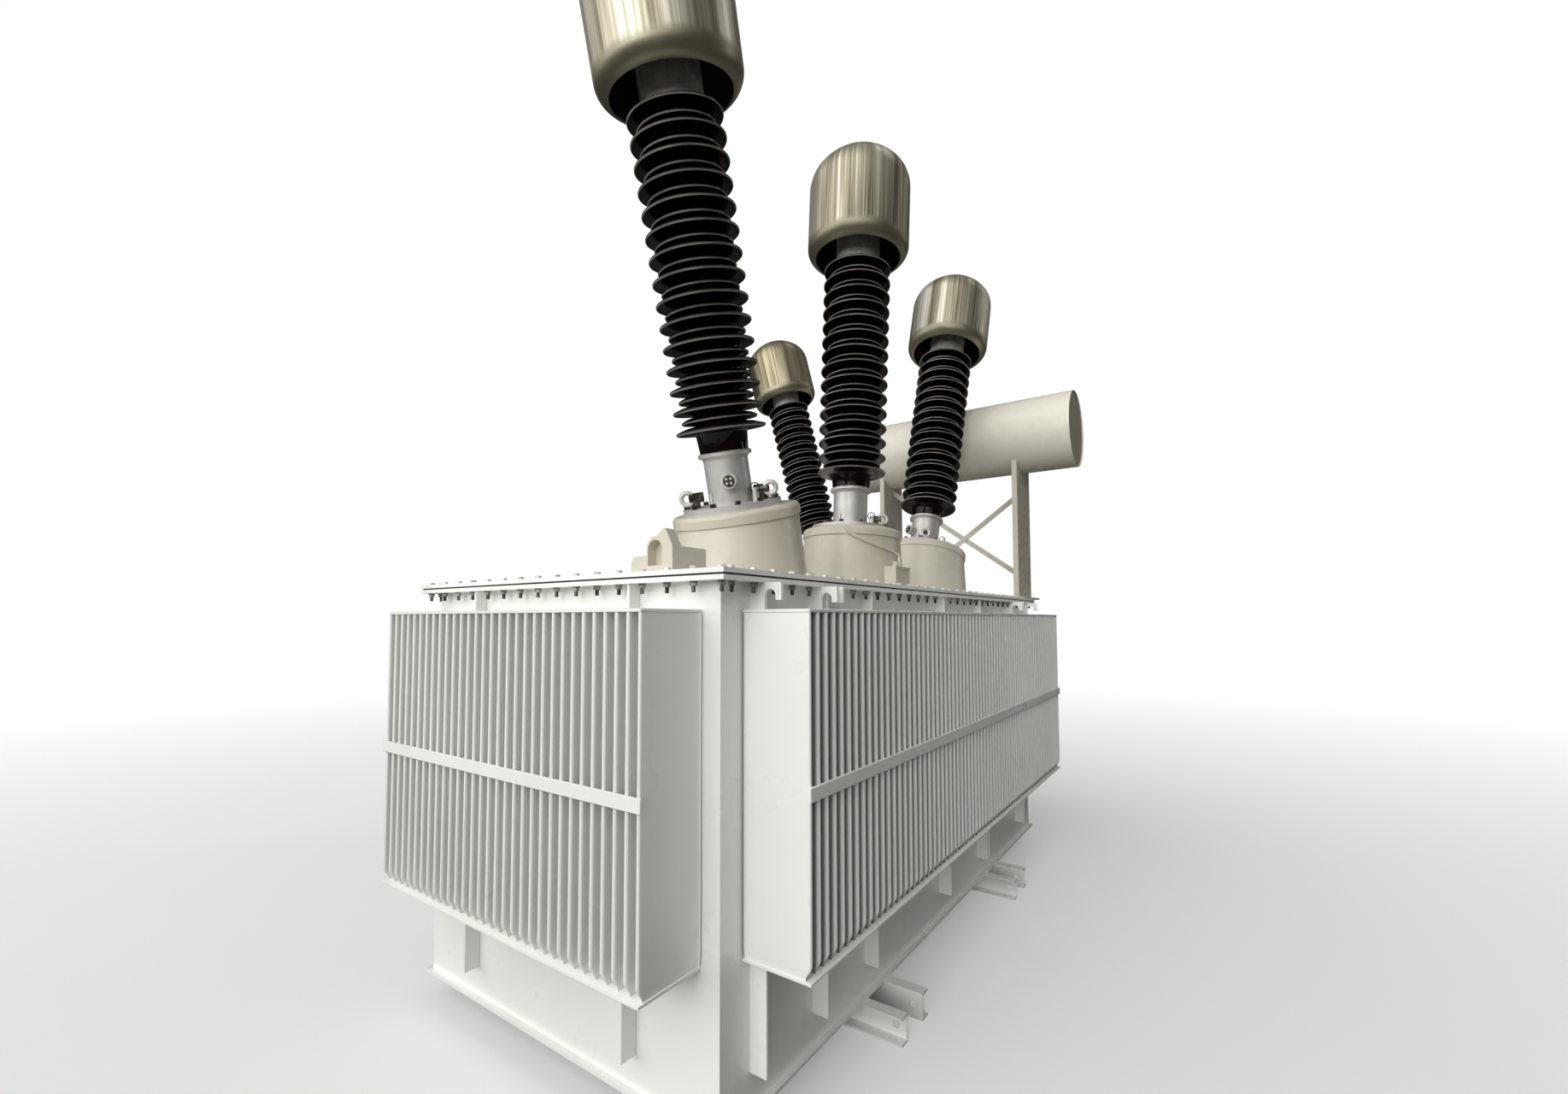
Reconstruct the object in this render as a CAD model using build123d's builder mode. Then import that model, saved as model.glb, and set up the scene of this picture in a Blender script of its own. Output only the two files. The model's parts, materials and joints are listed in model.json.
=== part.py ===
from build123d import *
import os
from math import acos, atan2, cos, degrees, hypot, radians, sin, sqrt

# Power transformer: a welded tank with corrugated cooling walls, four condenser bushings on
# turrets and a conservator on two posts. Millimetres, +Z up, X along the tank, Y across it.
# The real size follows from the 45 mm pitch of the cooling fins.

# Skid under the tank
channel_height = 100.0
channel_flange = 50.0
channel_web = 6.0
channel_flange_thickness = 8.5
channel_length = 1850.0
channel_hole_radius = 15.0
channel_hole_inset = 40.0
flange_hole_radius = 6.0
flange_hole_inset = 56.0
skid_spacing = 1484.0
skid_gap = 141.0

# Tank
tank_length = 3320.0
tank_width = 1500.0
base_plate_thickness = 12.0
base_plate_overhang = 20.0
lower_wall = 428.0
upper_wall = 79.0
flange_thickness = 14.0
flange_overhang = 58.0
gasket_thickness = 6.0
gasket_inset = 6.0
gasket_width = 70.0
cover_thickness = 14.0

# Cooling walls
fin_pitch = 45.0
fin_thickness = 13.0
fin_height = 1005.0
fin_margin_long = 101.0
fin_margin_short = 68.5
fin_depth_long = 230.0
fin_depth_short = 237.0
fin_root = 6.0
fin_tip_chamfer = 3.5
fin_end_plate = 10.0
band_height = 41.0
band_thickness = 8.0
band_rise = 484.0
band_reach = 10.0

# Stiffeners and lifting lugs on the bare walls
rib_thickness = 10.0
lower_rib_depth = 60.0
upper_rib_depth = 45.0
middle_rib_places = (-20.0, 540.0, 580.0)
left_rib_insets = (140.0, 485.0, 860.0)
right_rib_inset = 340.0
short_rib_inset = 328.0
lug_insets = (140.0, 465.0, 505.0)
lug_thickness = 12.0
lug_reach = 114.0
lug_tip_drop = 52.0
lug_tip_width = 20.0
lug_notch_radius = 20.0
lug_notch_roof = 20.0

# Bushings: sizes along the axis are measured from the ring at the foot of the porcelain
row_inset = 470.0
row_end_inset = 590.0
row_lean = 15.5
row_lean_y = -1.3
middle_lean = 2.0
outer_ring_rise = 530.0
middle_ring_rise = 554.0
rear_end_inset = 530.0
rear_inset = 148.0
rear_lean_y = 14.8
rear_ring_rise = 487.0
rear_size = 0.868
sleeve_length = 206.0
sleeve_radius = 90.0
sleeve_flare = 6.0
foot_flange_radius = 200.0
foot_flange_thickness = 24.0
tap_radius = 29.0
tap_reach = 42.0
tap_drop = 115.0
tap_cap_radius = 20.0
tap_cap_reach = 10.0
left_tap_turn = 218.0
right_tap_turn = 150.0
ring_radius = 108.0
ring_height = 18.0
ring_edge = 4.0
core_radius = 103.5
neck_radius = 98.0
lowest_shed_height = 86.0
shed_pitch = 79.8
shed_count = 15
shed_radius = 180.0
small_shed_radius = 152.0
shed_lip = 7.0
shed_slope = 26.0
head_radius = 118.0
head_height = 190.0
stem_radius = 30.0
shield_radius = 274.0
shield_mouth_radius = 229.0
shield_lip_radius = 60.0
shield_start = 1335.0
shield_side = 332.0
shield_dome = 239.0
shield_shoulder = 170.0
shield_wall = 6.0
seat_clearance = 0.3

# Turrets: each foot lies a share of the way from under the lid to where the axis meets the cover
lid_radius = 260.0
lid_thickness = 47.0
lid_edge = 19.0
lid_shift = -15.0
turret_top_radius = 252.0
turret_base_radius = 275.0
rear_turret_base_radius = 216.0
foot_follow = 0.44

# Relief hood before the left turret, open at its end, with a closed box behind it
hood_end_inset = 58.0
hood_inset = 187.0
hood_length = 40.0
hood_side_height = 80.0
hood_peak = (32.0, 138.0)
hood_brow = (69.0, 112.0)
hood_shoulder_drop = 22.0
hood_width = 108.0
hood_corner = 8.0
hood_pocket = 34.0
hood_mouth_middle = 73.5
hood_mouth_radius = 30.0
hood_mouth_low = 22.0
hood_mouth_high = 71.0
ear_length = 70.0
ear_height = 54.0
ear_corner = 26.0
ear_thickness = 5.0
valve_box_length = 113.0
valve_box_width = 60.0
valve_box_corner = 9.0

# Terminal box on the cover before the middle turret
terminal_box_x = -150.0
terminal_box_inset = 110.0
terminal_box_length = 171.0
terminal_box_width = 60.0
terminal_box_height = 110.0
terminal_box_frame = 8.0
terminal_box_recess = 3.0
gland_radius = 13.0
gland_height = 26.0
gland_spacing = 44.0

# Conservator
conservator_radius = 258.0
conservator_wall = 5.0
conservator_length = 1713.0
conservator_overhang = 48.0
conservator_front_reach = 354.5
conservator_rise = 1156.0
cap_thickness = 6.0
cap_recess = 8.0
post_inset = 2.0
post_spacing = 995.0
post_depth = 340.0
post_flange = 34.0
post_wall = 8.0
foot_thickness = 12.0
foot_length = 460.0
foot_width = 120.0
brace_width = 34.0
brace_thickness = 8.0
falling_brace_high = 760.0
falling_brace_low = 36.0
rising_brace_low = 149.0
rising_brace_high = 866.0

# Levels
wall_bottom_z = channel_height + base_plate_thickness
fin_bottom_z = wall_bottom_z + lower_wall
fin_top_z = fin_bottom_z + fin_height
flange_z = fin_top_z + upper_wall
gasket_z = flange_z + flange_thickness
cover_z = gasket_z + gasket_thickness
cover_top_z = cover_z + cover_thickness
conservator_z = cover_top_z + conservator_rise

# Places along the tank are measured from its ends and sides
left_rib_places = [-tank_length / 2 + inset for inset in left_rib_insets]
rib_places_long = [*left_rib_places, *middle_rib_places, tank_length / 2 - right_rib_inset]
upper_rib_places_long = [left_rib_places[-1], *middle_rib_places[:2]]
rib_places_short = [end * (tank_width / 2 - short_rib_inset) for end in (-1, 1)]
lug_places = [end * (tank_length / 2 - inset) for end in (-1, 1) for inset in lug_insets]
row_spacing = tank_length / 2 - row_end_inset
row_y = -tank_width / 2 + row_inset
rear_x = tank_length / 2 - rear_end_inset
rear_y = tank_width / 2 - rear_inset
hood_end_x = -tank_length / 2 - flange_overhang + hood_end_inset
hood_front_y = -tank_width / 2 + hood_inset
terminal_box_front_y = -tank_width / 2 + terminal_box_inset

# The posts stand over the tank's end, and the conservator lies on them
conservator_x = tank_length / 2 + conservator_overhang
post_front_y = -tank_width / 2 + post_inset
post_rear_y = post_front_y + post_spacing
conservator_y = post_front_y - conservator_front_reach + conservator_length / 2

# Radius of the hood's crown, which meets its shoulder without a step
crown_radius = (shield_radius**2 - 2 * shield_radius * shield_shoulder + shield_dome**2) / (
    2 * (shield_dome - shield_shoulder)
)

pieces = {}

# Directions along each wall, seen from outside, and the middle of its foot
walls = {
    "front": ((-1, 0, 0), (0.0, -tank_width / 2)),
    "back": ((1, 0, 0), (0.0, tank_width / 2)),
    "left": ((0, 1, 0), (-tank_length / 2, 0.0)),
    "right": ((0, -1, 0), (tank_length / 2, 0.0)),
}


def wall_plane(side, z):
    """Plane flat on the floor's level z, its x along the wall and its y straight out of it."""
    along, (x, y) = walls[side]
    return Plane(origin=(x, y, z), x_dir=along, z_dir=(0, 0, 1))


def along_sign(side):
    """Turns a place along +X or +Y into a place along the wall's own x."""
    return -1 if side in ("front", "right") else 1


def plate(length, width, thickness, z, hole=None):
    """Flat plate about the tank's middle, with a rectangular hole if it is a frame."""
    with BuildPart() as made:
        with BuildSketch(Plane.XY.offset(z)):
            Rectangle(length, width)
            if hole:
                Rectangle(*hole, mode=Mode.SUBTRACT)
        extrude(amount=thickness)
    return made


# Base plate, tank body, flange frame, gasket frame and cover
pieces["base_plate"] = plate(
    tank_length + 2 * base_plate_overhang,
    tank_width + 2 * base_plate_overhang,
    base_plate_thickness,
    channel_height,
)
pieces["tank_body"] = plate(tank_length, tank_width, gasket_z - wall_bottom_z, wall_bottom_z)
flange_length = tank_length + 2 * flange_overhang
flange_width = tank_width + 2 * flange_overhang
pieces["tank_flange"] = plate(
    flange_length, flange_width, flange_thickness, flange_z, (tank_length, tank_width)
)
gasket_length = flange_length - 2 * gasket_inset
gasket_depth = flange_width - 2 * gasket_inset
pieces["cover_gasket"] = plate(
    gasket_length,
    gasket_depth,
    gasket_thickness,
    gasket_z,
    (gasket_length - 2 * gasket_width, gasket_depth - 2 * gasket_width),
)
pieces["tank_cover"] = plate(flange_length, flange_width, cover_thickness, cover_z)


def cooling_wall(side, wall_length, margin, depth):
    """Comb of upright fins on a root sheet, a plate at top and bottom, a flat bar across."""
    half = fin_thickness / 2
    count = round((wall_length - 2 * margin - fin_thickness) / fin_pitch) + 1
    length = (count - 1) * fin_pitch + fin_thickness
    outline = [(-length / 2, 0)]
    for i in range(count):
        x = (i - (count - 1) / 2) * fin_pitch
        if i > 0:
            outline.append((x - half, fin_root))
        outline.append((x - half, depth - fin_tip_chamfer))
        outline.append((x - half + fin_tip_chamfer, depth))
        outline.append((x + half - fin_tip_chamfer, depth))
        outline.append((x + half, depth - fin_tip_chamfer))
        if i < count - 1:
            outline.append((x + half, fin_root))
    outline.append((length / 2, 0))
    foot = wall_plane(side, fin_bottom_z)
    with BuildPart() as made:
        with BuildSketch(foot.offset(fin_end_plate)):
            with BuildLine():
                Polyline(*outline, close=True)
            make_face()
        extrude(amount=fin_height - 2 * fin_end_plate)
        for rise in (0, fin_height - fin_end_plate):
            with BuildSketch(foot.offset(rise)):
                with Locations((0, depth / 2)):
                    Rectangle(length, depth)
            extrude(amount=fin_end_plate)
        with BuildSketch(foot.offset(band_rise)):
            with Locations((0, depth + band_thickness / 2)):
                Rectangle(length + 2 * band_reach, band_thickness)
        extrude(amount=band_height)
    return made


def ribs(side, low_places, high_places):
    """Upright stiffener plates on the bare wall below the fins and on the strip above them."""
    stretches = (
        (low_places, lower_rib_depth, wall_bottom_z, lower_wall),
        (high_places, upper_rib_depth, fin_top_z, upper_wall),
    )
    with BuildPart() as made:
        for places, depth, z, height in stretches:
            with BuildSketch(wall_plane(side, z)):
                for place in places:
                    with Locations((place * along_sign(side), depth / 2)):
                        Rectangle(rib_thickness, depth)
            extrude(amount=height)
    return made


for side in walls:
    long_side = side in ("front", "back")
    wall_length = tank_length if long_side else tank_width
    margin = fin_margin_long if long_side else fin_margin_short
    depth = fin_depth_long if long_side else fin_depth_short
    low_places = rib_places_long if long_side else rib_places_short
    high_places = upper_rib_places_long if long_side else rib_places_short
    pieces[f"cooling_wall_{side}"] = cooling_wall(side, wall_length, margin, depth)
    pieces[f"wall_ribs_{side}"] = ribs(side, low_places, high_places)


def lifting_lugs(side):
    """Hook plates under the flange: each has a round notch open downwards and a square tip."""
    outward = -1 if side == "front" else 1
    notch_middle = lug_reach - lug_tip_width - lug_notch_radius
    notch_inner = notch_middle - lug_notch_radius
    notch_outer = notch_middle + lug_notch_radius
    spring = lug_notch_roof + lug_notch_radius
    with BuildPart() as made:
        for place in lug_places:
            face = Plane(
                origin=(place, outward * tank_width / 2, flange_z),
                x_dir=(0, outward, 0),
                z_dir=(-outward, 0, 0),
            )
            with BuildSketch(face):
                with BuildLine():
                    Polyline((notch_inner, spring), (notch_inner, upper_wall), (0, upper_wall), (0, 0))
                    Polyline((0, 0), (lug_reach, 0), (lug_reach, lug_tip_drop))
                    Polyline((lug_reach, lug_tip_drop), (notch_outer, lug_tip_drop), (notch_outer, spring))
                    ThreePointArc(
                        (notch_outer, spring), (notch_middle, lug_notch_roof), (notch_inner, spring)
                    )
                make_face()
            extrude(amount=lug_thickness / 2, both=True)
    return made


for side in ("front", "back"):
    pieces[f"lifting_lugs_{side}"] = lifting_lugs(side)


def skid_channel(web_x, hand):
    """Channel lying across the tank, web upright, its flanges pointing along hand times X."""
    tip_x = web_x + hand * channel_flange
    inner_x = web_x + hand * channel_web
    low = channel_flange_thickness
    high = channel_height - channel_flange_thickness
    with BuildPart() as made:
        with BuildSketch(Plane.XZ):
            with BuildLine():
                Polyline(
                    (web_x, 0),
                    (tip_x, 0),
                    (tip_x, low),
                    (inner_x, low),
                    (inner_x, high),
                    (tip_x, high),
                    (tip_x, channel_height),
                    (web_x, channel_height),
                    close=True,
                )
            make_face()
        extrude(amount=channel_length / 2, both=True)
        for end in (-1, 1):
            web_hole_y = end * (channel_length / 2 - channel_hole_inset)
            with Locations((web_x, web_hole_y, channel_height / 2)):
                Cylinder(
                    channel_hole_radius, 4 * channel_web, rotation=(0, 90, 0), mode=Mode.SUBTRACT
                )
            flange_hole_x = web_x + hand * (channel_web + channel_flange) / 2
            flange_hole_y = end * (channel_length / 2 - flange_hole_inset)
            with Locations((flange_hole_x, flange_hole_y, 0)):
                Cylinder(flange_hole_radius, 4 * channel_flange_thickness, mode=Mode.SUBTRACT)
    return made


for pair, middle in (("left", -skid_spacing / 2), ("right", skid_spacing / 2)):
    pieces[f"skid_channel_{pair}_outer"] = skid_channel(
        middle + (-skid_gap / 2 if pair == "left" else skid_gap / 2), -1 if pair == "left" else 1
    )
    pieces[f"skid_channel_{pair}_inner"] = skid_channel(
        middle + (skid_gap / 2 if pair == "left" else -skid_gap / 2), 1 if pair == "left" else -1
    )


# Each bushing: ring's place, lean along X and Y in degrees and size
bushings = {
    "left": (-row_spacing, row_y, cover_top_z + outer_ring_rise, -row_lean, row_lean_y, 1.0),
    "middle": (0.0, row_y, cover_top_z + middle_ring_rise, middle_lean, row_lean_y, 1.0),
    "right": (row_spacing, row_y, cover_top_z + outer_ring_rise, row_lean, row_lean_y, 1.0),
    "rear": (rear_x, rear_y, cover_top_z + rear_ring_rise, 0.0, rear_lean_y, rear_size),
}


def axis_plane(place):
    """Plane square to a bushing's axis through the middle of its ring, its x towards +X."""
    x, y, z, lean_x, lean_y = bushings[place][:5]
    ax = sin(radians(lean_x))
    ay = sin(radians(lean_y))
    axis = Vector(ax, ay, sqrt(1 - ax * ax - ay * ay))
    level = Vector(1, 0, 0) - axis * ax
    return Plane(origin=(x, y, z), x_dir=level, z_dir=axis)


def turned(place, outline, shift=0.0):
    """Solid of revolution about a bushing's axis, or beside it, from (radius, height) points."""
    face = axis_plane(place)
    profile = Plane(
        origin=face.origin + face.y_dir * shift, x_dir=face.x_dir, z_dir=face.y_dir * -1
    )
    with BuildPart() as made:
        with BuildSketch(profile):
            with BuildLine():
                Polyline(*outline, close=True)
            make_face()
        revolve(axis=Axis(profile.origin, face.z_dir))
    return made


def turret_shift(place):
    """How far a turret and its lid lie beside the bushing's axis: the row's stand forward."""
    return 0.0 if place == "rear" else lid_shift


def turret(place):
    """Body that leads from a level foot on the cover to the lid's slanted underside."""
    size = bushings[place][5]
    base_radius = rear_turret_base_radius if place == "rear" else turret_base_radius
    underside = axis_plane(place).offset(
        -size * (sleeve_length + foot_flange_thickness + lid_thickness)
    )
    underside.origin += underside.y_dir * turret_shift(place)
    down_the_axis = (underside.origin.Z - cover_top_z) / underside.z_dir.Z
    foot = underside.origin - underside.z_dir * (foot_follow * down_the_axis)
    with BuildPart() as made:
        with BuildSketch(Plane.XY.offset(cover_top_z)):
            with Locations((foot.X, foot.Y)):
                Circle(base_radius)
        with BuildSketch(underside):
            Circle(size * turret_top_radius)
        loft(ruled=True)
    return made


def turret_lid(place):
    """Thick round lid with a well rounded upper edge."""
    size = bushings[place][5]
    face = axis_plane(place)
    seat = -size * (sleeve_length + foot_flange_thickness)
    bottom = seat - size * lid_thickness
    radius = size * lid_radius
    edge = size * lid_edge
    profile = Plane(
        origin=face.origin + face.y_dir * turret_shift(place),
        x_dir=face.x_dir,
        z_dir=face.y_dir * -1,
    )
    with BuildPart() as made:
        with BuildSketch(profile):
            with BuildLine():
                Polyline((radius - edge, seat), (0, seat), (0, bottom), (radius, bottom))
                Line((radius, bottom), (radius, seat - edge))
                CenterArc((radius - edge, seat - edge), edge, 0, 90)
            make_face()
        revolve(axis=Axis(profile.origin, face.z_dir))
    return made


def sleeve(place):
    """Metal foot of the bushing: round flange on the lid, plain sleeve and rolled ring."""
    size = bushings[place][5]
    foot = -(sleeve_length + foot_flange_thickness)
    outline = [
        (0, foot),
        (foot_flange_radius, foot),
        (foot_flange_radius, -sleeve_length),
        (sleeve_radius, -sleeve_length),
        (sleeve_radius, -ring_height - 2 * sleeve_flare),
        (sleeve_radius + sleeve_flare, -ring_height),
        (ring_radius - ring_edge, -ring_height),
        (ring_radius, -ring_height + ring_edge),
        (ring_radius, -ring_edge),
        (ring_radius - ring_edge, 0),
        (0, 0),
    ]
    return turned(place, [(r * size, h * size) for r, h in outline])


def porcelain(place):
    """Insulator body with large sheds and a smaller shed between each two of them."""
    size = bushings[place][5]
    outline = [(0, 0), (neck_radius, 0), (core_radius, lowest_shed_height - shed_slope)]
    for i in range(2 * shed_count - 1):
        radius = shed_radius if i % 2 == 0 else small_shed_radius
        height = lowest_shed_height + i * shed_pitch / 2
        outline.append((core_radius, height - shed_lip / 2))
        outline.append((radius, height - shed_lip / 2))
        outline.append((radius, height + shed_lip / 2))
        if i % 2 == 0:
            outline.append((core_radius, height + shed_slope))
    outline.append((0, lowest_shed_height + (shed_count - 1) * shed_pitch + shed_slope))
    return turned(place, [(r * size, h * size) for r, h in outline])


def head(place):
    """Top fitting of the bushing: round flange on the porcelain and a stem to the shield."""
    size = bushings[place][5]
    foot = lowest_shed_height + (shed_count - 1) * shed_pitch + shed_slope
    inner_crown = crown_radius - shield_wall
    sag = inner_crown - sqrt(inner_crown**2 - stem_radius**2)
    crown = shield_start + shield_side + shield_dome - shield_wall - sag - seat_clearance
    outline = [
        (0, foot),
        (head_radius, foot),
        (head_radius, foot + head_height),
        (stem_radius, foot + head_height),
        (stem_radius, crown),
        (0, crown),
    ]
    return turned(place, [(r * size, h * size) for r, h in outline])


def corona_shield(place):
    """Spun hood: rolled-in lip, straight side, round shoulder and crown, one even wall thick."""
    size = bushings[place][5]
    face = axis_plane(place)
    profile = Plane(origin=face.origin, x_dir=face.x_dir, z_dir=face.y_dir * -1)
    lip_reach = shield_mouth_radius - shield_radius + shield_lip_radius
    lip_turn = degrees(acos(lip_reach / shield_lip_radius))
    lip_middle = ((shield_radius - shield_lip_radius) * size, shield_start * size)
    side_top = (shield_start + shield_side) * size
    wall = shield_wall * size
    radius = shield_radius * size
    lip = shield_lip_radius * size
    shoulder = shield_shoulder * size
    dome = shield_dome * size
    crown = crown_radius * size
    meeting = degrees(atan2(crown - dome, radius - shoulder))
    shoulder_middle = (radius - shoulder, side_top)
    crown_middle = (0, side_top + dome - crown)
    with BuildPart() as made:
        with BuildSketch(profile):
            with BuildLine():
                outer_lip = CenterArc(lip_middle, lip, -lip_turn, lip_turn)
                Line((radius, lip_middle[1]), (radius, side_top))
                CenterArc(shoulder_middle, shoulder, 0, meeting)
                CenterArc(crown_middle, crown, meeting, 90 - meeting)
                Line((0, side_top + dome), (0, side_top + dome - wall))
                CenterArc(crown_middle, crown - wall, meeting, 90 - meeting)
                CenterArc(shoulder_middle, shoulder - wall, 0, meeting)
                Line((radius - wall, side_top), (radius - wall, lip_middle[1]))
                inner_lip = CenterArc(lip_middle, lip - wall, -lip_turn, lip_turn)
                Line(inner_lip @ 0, outer_lip @ 0)
            make_face()
        revolve(axis=Axis(face.origin, face.z_dir))
    return made


for place in bushings:
    pieces[f"turret_body_{place}"] = turret(place)
    pieces[f"turret_lid_{place}"] = turret_lid(place)
    pieces[f"bushing_foot_{place}"] = sleeve(place)
    pieces[f"porcelain_{place}"] = porcelain(place)
    pieces[f"bushing_head_{place}"] = head(place)
    pieces[f"corona_shield_{place}"] = corona_shield(place)


def test_tap(place, turn):
    """Round tap housing on the sleeve, turned about the axis, with a smaller cap on its face."""
    face = axis_plane(place).offset(-tap_drop)
    out = face.x_dir * cos(radians(turn)) + face.y_dir * sin(radians(turn))
    seat = Plane(origin=face.origin, x_dir=face.z_dir, z_dir=out)
    with BuildPart() as made:
        with BuildSketch(seat):
            Circle(tap_radius)
        extrude(amount=sleeve_radius + tap_reach)
        with BuildSketch(seat.offset(sleeve_radius + tap_reach)):
            Circle(tap_cap_radius)
        extrude(amount=tap_cap_reach)
        with BuildSketch(face.offset(-2 * tap_radius)):
            Circle(sleeve_radius)
        extrude(amount=4 * tap_radius, mode=Mode.SUBTRACT)
    return made


pieces["test_tap_left"] = test_tap("left", left_tap_turn)
pieces["test_tap_right"] = test_tap("right", right_tap_turn)


# Relief hood: its end outline runs from the front over a peak and a brow to the ear beside it
end_face = Plane(origin=(hood_end_x, hood_front_y, cover_top_z), x_dir=(0, 1, 0), z_dir=(1, 0, 0))
with BuildPart() as hood:
    with BuildSketch(end_face):
        with BuildLine():
            FilletPolyline(
                (0, 0),
                (0, hood_side_height),
                hood_peak,
                hood_brow,
                (hood_width - hood_shoulder_drop, hood_brow[1]),
                (hood_width, hood_brow[1] - hood_shoulder_drop),
                (hood_width, 0),
                radius=hood_corner,
            )
            Line((hood_width, 0), (0, 0))
        make_face()
    extrude(amount=hood_length)
    with BuildSketch(end_face):
        with BuildLine():
            Polyline(
                (hood_mouth_middle - hood_mouth_radius, hood_mouth_high),
                (hood_mouth_middle - hood_mouth_radius, hood_mouth_low),
                (hood_mouth_middle + hood_mouth_radius, hood_mouth_low),
                (hood_mouth_middle + hood_mouth_radius, hood_mouth_high),
            )
            CenterArc((hood_mouth_middle, hood_mouth_high), hood_mouth_radius, 0, 180)
        make_face()
    extrude(amount=hood_pocket, mode=Mode.SUBTRACT)
    with BuildSketch(end_face):
        with BuildLine():
            FilletPolyline(
                (hood_width, ear_height),
                (hood_width + ear_length, ear_height),
                (hood_width + ear_length, 0),
                radius=ear_corner,
            )
            Polyline((hood_width + ear_length, 0), (hood_width, 0), (hood_width, ear_height))
        make_face()
    extrude(amount=ear_thickness)
pieces["relief_hood"] = hood

# Box behind the hood, with its front flush with the hood's
box_face = Plane(
    origin=(hood_end_x + hood_length, hood_front_y, cover_top_z), x_dir=(1, 0, 0), z_dir=(0, -1, 0)
)
with BuildPart() as valve_box:
    with BuildSketch(box_face):
        with BuildLine():
            FilletPolyline(
                (0, hood_side_height),
                (valve_box_length, hood_side_height),
                (valve_box_length, 0),
                radius=valve_box_corner,
            )
            Polyline((valve_box_length, 0), (0, 0), (0, hood_side_height))
        make_face()
    extrude(amount=-valve_box_width)
pieces["valve_box"] = valve_box

# Terminal box: a frame round a slightly sunk front, and two cable glands on top
terminal_face = Plane(
    origin=(terminal_box_x, terminal_box_front_y, cover_top_z), x_dir=(1, 0, 0), z_dir=(0, -1, 0)
)
with BuildPart() as terminal_box:
    with BuildSketch(terminal_face):
        with Locations((0, terminal_box_height / 2)):
            Rectangle(terminal_box_length, terminal_box_height)
    extrude(amount=-terminal_box_width)
    with BuildSketch(terminal_face):
        with Locations((0, terminal_box_height / 2)):
            Rectangle(
                terminal_box_length - 2 * terminal_box_frame,
                terminal_box_height - 2 * terminal_box_frame,
            )
    extrude(amount=-terminal_box_recess, mode=Mode.SUBTRACT)
    with BuildSketch(Plane.XY.offset(cover_top_z + terminal_box_height)):
        with Locations((terminal_box_x, terminal_box_front_y + terminal_box_width / 2)):
            with GridLocations(gland_spacing, 0, 2, 1):
                RegularPolygon(gland_radius, 6)
    extrude(amount=gland_height)
pieces["terminal_box"] = terminal_box


# Conservator: a plain tube along Y with a sunk disc in each end
with BuildPart() as shell:
    with BuildSketch(Plane.XZ.offset(-conservator_y)):
        with Locations((conservator_x, conservator_z)):
            Circle(conservator_radius)
            Circle(conservator_radius - conservator_wall, mode=Mode.SUBTRACT)
    extrude(amount=conservator_length / 2, both=True)
pieces["conservator_shell"] = shell

for place, end in (("front", -1), ("back", 1)):
    outer_y = conservator_y + end * (conservator_length / 2 - cap_recess)
    with BuildPart() as cap:
        with BuildSketch(Plane.XZ.offset(-outer_y)):
            with Locations((conservator_x, conservator_z)):
                Circle(conservator_radius - conservator_wall)
        extrude(amount=end * cap_thickness)
    pieces[f"conservator_cap_{place}"] = cap


def post(web_y):
    """Folded post on a flat foot bar: wide web, two short flanges behind it, saddle on top."""
    middle = web_y + post_flange / 2
    with BuildPart() as made:
        with BuildSketch(Plane.XY.offset(cover_top_z)):
            with Locations((conservator_x, middle)):
                Rectangle(foot_length, foot_width)
        extrude(amount=foot_thickness)
        with BuildSketch(Plane.XY.offset(cover_top_z + foot_thickness)):
            with Locations((conservator_x, middle)):
                Rectangle(post_depth, post_flange)
            with Locations((conservator_x, middle + post_wall)):
                Rectangle(post_depth - 2 * post_wall, post_flange, mode=Mode.SUBTRACT)
        extrude(amount=conservator_rise - foot_thickness)
        with Locations((conservator_x, middle, conservator_z)):
            Cylinder(
                conservator_radius, 4 * post_flange, rotation=(90, 0, 0), mode=Mode.SUBTRACT
            )
    return made


for place, web_y in (("front", post_front_y), ("rear", post_rear_y)):
    pieces[f"conservator_post_{place}"] = post(web_y)


def brace(front_rise, rear_rise, layer):
    """Flat bar in an upright plane from the front post's web to the rear post's web."""
    start_y = post_front_y + post_wall
    run = post_rear_y - start_y
    slope_length = hypot(run, rear_rise - front_rise)
    half = brace_width / 2 * slope_length / run
    low_z = cover_top_z + front_rise
    high_z = cover_top_z + rear_rise
    with BuildPart() as made:
        with BuildSketch(Plane.YZ.offset(conservator_x + layer * brace_thickness)):
            with BuildLine():
                Polyline(
                    (start_y, low_z - half),
                    (post_rear_y, high_z - half),
                    (post_rear_y, high_z + half),
                    (start_y, low_z + half),
                    close=True,
                )
            make_face()
        extrude(amount=brace_thickness)
    return made


pieces["brace_falling"] = brace(falling_brace_high, falling_brace_low, -1)
pieces["brace_rising"] = brace(rising_brace_low, rising_brace_high, 0)

# The origin lies on the floor under the middle of the whole footprint
boxes = [piece.part.bounding_box() for piece in pieces.values()]
middle_x = (min(box.min.X for box in boxes) + max(box.max.X for box in boxes)) / 2
middle_y = (min(box.min.Y for box in boxes) + max(box.max.Y for box in boxes)) / 2
to_origin = Location((-middle_x, -middle_y, 0))
print("tank middle from the origin", round(-middle_x, 3), round(-middle_y, 3))

os.makedirs("parts", exist_ok=True)
for name, piece in pieces.items():
    placed = piece.part.moved(to_origin)
    placed.label = name
    export_step(placed, f"parts/{name}.step")
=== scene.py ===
import json
from math import acos, atan2, cos, degrees, pi, radians, sin, sqrt

import bmesh
import bpy
import numpy as np
from mathutils import Matrix, Quaternion, Vector


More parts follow.
